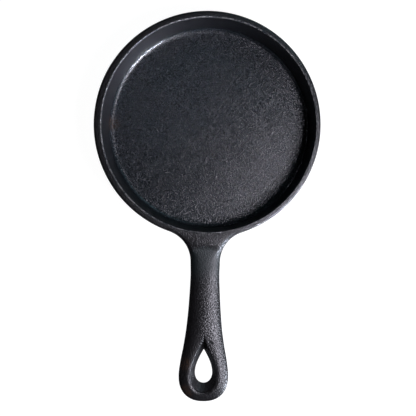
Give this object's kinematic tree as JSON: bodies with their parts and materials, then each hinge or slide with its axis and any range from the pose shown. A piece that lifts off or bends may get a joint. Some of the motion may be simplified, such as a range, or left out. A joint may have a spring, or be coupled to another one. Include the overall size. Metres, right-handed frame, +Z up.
{
  "type": "cast iron skillet",
  "caption": "Small round cast iron skillet with a drafted wall and a solid handle cast in one with it, pierced by a teardrop hanging eye.",
  "frame": {"origin": "centre of the flat base, on the surface that the skillet stands on", "axes": "+Z up out of the pan, the handle points along -Y, +X to the right of a cook who looks down from the handle's end"},
  "size_m": [0.16, 0.2742, 0.0318],
  "materials": {
    "seasoned_iron": "oil-seasoned sand casting, fine pebbled grain, semi-matt"
  },
  "bodies": {
    "root": {"pan_floor": "seasoned_iron", "pan_wall": "seasoned_iron", "handle_neck": "seasoned_iron", "handle_grip": "seasoned_iron", "handle_eye": "seasoned_iron"}
  },
  "joints": []
}
